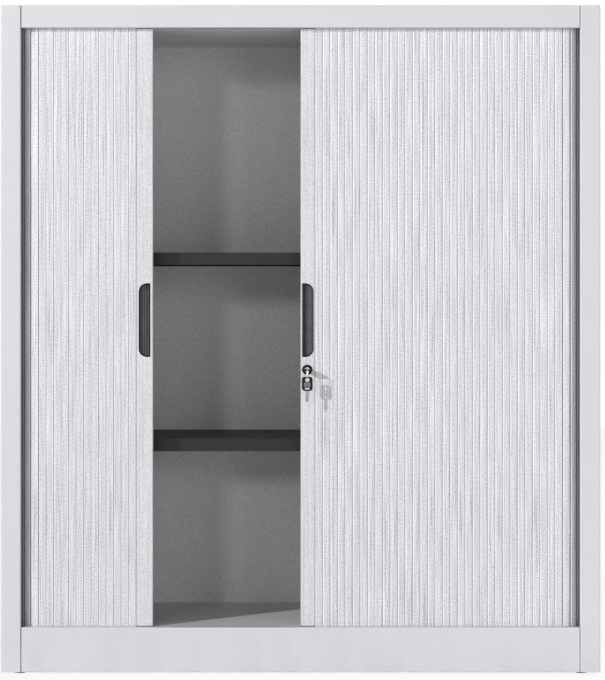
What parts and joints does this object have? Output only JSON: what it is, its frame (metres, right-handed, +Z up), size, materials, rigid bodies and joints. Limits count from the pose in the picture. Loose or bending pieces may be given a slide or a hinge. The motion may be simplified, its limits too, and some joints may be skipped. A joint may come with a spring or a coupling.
{
  "type": "tambour cabinet",
  "caption": "Steel storage cabinet with side-opening roller shutters of upright slats, a key lock in the lead rail, adjustable shelves and levelling feet.",
  "frame": {"origin": "bottom centre of the box round the whole cabinet, on the floor under the feet, with the hanging key included, so the steel case itself reaches from Y -0.2007 to Y +0.2294", "axes": "+X to the right seen from the front, -Y out of the front, +Z up"},
  "size_m": [1.2, 0.4588, 1.34],
  "materials": {
    "carcass_paint": "light grey powder coat, satin",
    "interior_paint": "light grey powder coat, satin",
    "shelf_paint": "charcoal powder coat, satin",
    "rail_paint": "light grey powder coat, satin",
    "slat_plastic": "light grey extruded slats, fine upright lines",
    "track_plastic": "light grey moulded",
    "black_plastic": "black moulded, fine grain",
    "nickel": "nickel plate",
    "zinc_steel": "bright zinc plate"
  },
  "bodies": {
    "carcass": {"back_panel": "carcass_paint", "base_pan": "carcass_paint", "bottom_track_left": "track_plastic", "bottom_track_right": "track_plastic", "ceiling": "interior_paint", "deck": "interior_paint", "foot_brackets": "zinc_steel", "foot_nuts": "zinc_steel", "front_plinth": "carcass_paint", "inner_back": "interior_paint", "inner_side_left": "interior_paint", "inner_side_right": "interior_paint", "left_shutter_corner": "slat_plastic", "left_shutter_tail": "slat_plastic", "lower_shelf": "shelf_paint", "right_shutter_corner": "slat_plastic", "right_shutter_tail": "slat_plastic", "roof_liner": "carcass_paint", "shelf_clips": "zinc_steel", "side_panel_left": "carcass_paint", "side_panel_right": "carcass_paint", "top_panel": "carcass_paint", "top_track_left": "track_plastic", "top_track_right": "track_plastic", "upper_shelf": "shelf_paint"},
    "left_lead": {"left_lead_rail": "rail_paint", "left_rail_glides": "black_plastic", "left_handle_cup": "black_plastic", "strike_plate": "zinc_steel", "left_shutter_front": "slat_plastic"},
    "right_lead": {"right_lead_rail": "rail_paint", "right_rail_glides": "black_plastic", "right_handle_cup": "black_plastic", "lock_body": "nickel", "lock_nut": "zinc_steel", "right_shutter_front": "slat_plastic"},
    "lock_core": {"lock_plug": "nickel", "hook_bolt": "zinc_steel", "hook_screw": "zinc_steel", "key_blade": "nickel", "key_head": "black_plastic"},
    "key_ring": {"key_ring": "nickel"},
    "spare_key": {"spare_key_blade": "nickel", "spare_key_head": "black_plastic"},
    "foot_front_left": {"foot_disc_front_left": "black_plastic", "foot_stud_front_left": "zinc_steel"},
    "foot_front_right": {"foot_disc_front_right": "black_plastic", "foot_stud_front_right": "zinc_steel"},
    "foot_back_left": {"foot_disc_back_left": "black_plastic", "foot_stud_back_left": "zinc_steel"},
    "foot_back_right": {"foot_disc_back_right": "black_plastic", "foot_stud_back_right": "zinc_steel"}
  },
  "joints": [
    {"name": "left_shutter_slide", "type": "slide", "parent": "carcass", "child": "left_lead", "axis": [1, 0, 0], "range_m": [-0.19565, 0.296], "deforming": ["left_shutter_front"]},
    {"name": "right_shutter_slide", "type": "slide", "parent": "carcass", "child": "right_lead", "axis": [1, 0, 0], "range_m": [0, 0.49665], "deforming": ["right_shutter_front"]},
    {"name": "lock_turn", "type": "hinge", "parent": "right_lead", "child": "lock_core", "pos_m": [0.0135, -0.18615, 0.61], "axis": [0, 1, 0], "range_deg": [0, 90]},
    {"name": "key_ring_swing", "type": "hinge", "parent": "lock_core", "child": "key_ring", "pos_m": [0.0135, -0.2156, 0.6128], "axis": [0, 1, 0], "range_deg": [-25, 25]},
    {"name": "spare_key_swing", "type": "hinge", "parent": "key_ring", "child": "spare_key", "pos_m": [0.0135, -0.2186, 0.5934], "axis": [0, 1, 0], "range_deg": [-60, 60]},
    {"name": "foot_turn_front_left", "type": "hinge", "parent": "carcass", "child": "foot_front_left", "pos_m": [-0.565, -0.16565, 0], "axis": [0, 0, 1], "continuous": true},
    {"name": "foot_turn_front_right", "type": "hinge", "parent": "carcass", "child": "foot_front_right", "pos_m": [0.565, -0.16565, 0], "axis": [0, 0, 1], "continuous": true},
    {"name": "foot_turn_back_left", "type": "hinge", "parent": "carcass", "child": "foot_back_left", "pos_m": [-0.565, 0.19435, 0], "axis": [0, 0, 1], "continuous": true},
    {"name": "foot_turn_back_right", "type": "hinge", "parent": "carcass", "child": "foot_back_right", "pos_m": [0.565, 0.19435, 0], "axis": [0, 0, 1], "continuous": true}
  ]
}
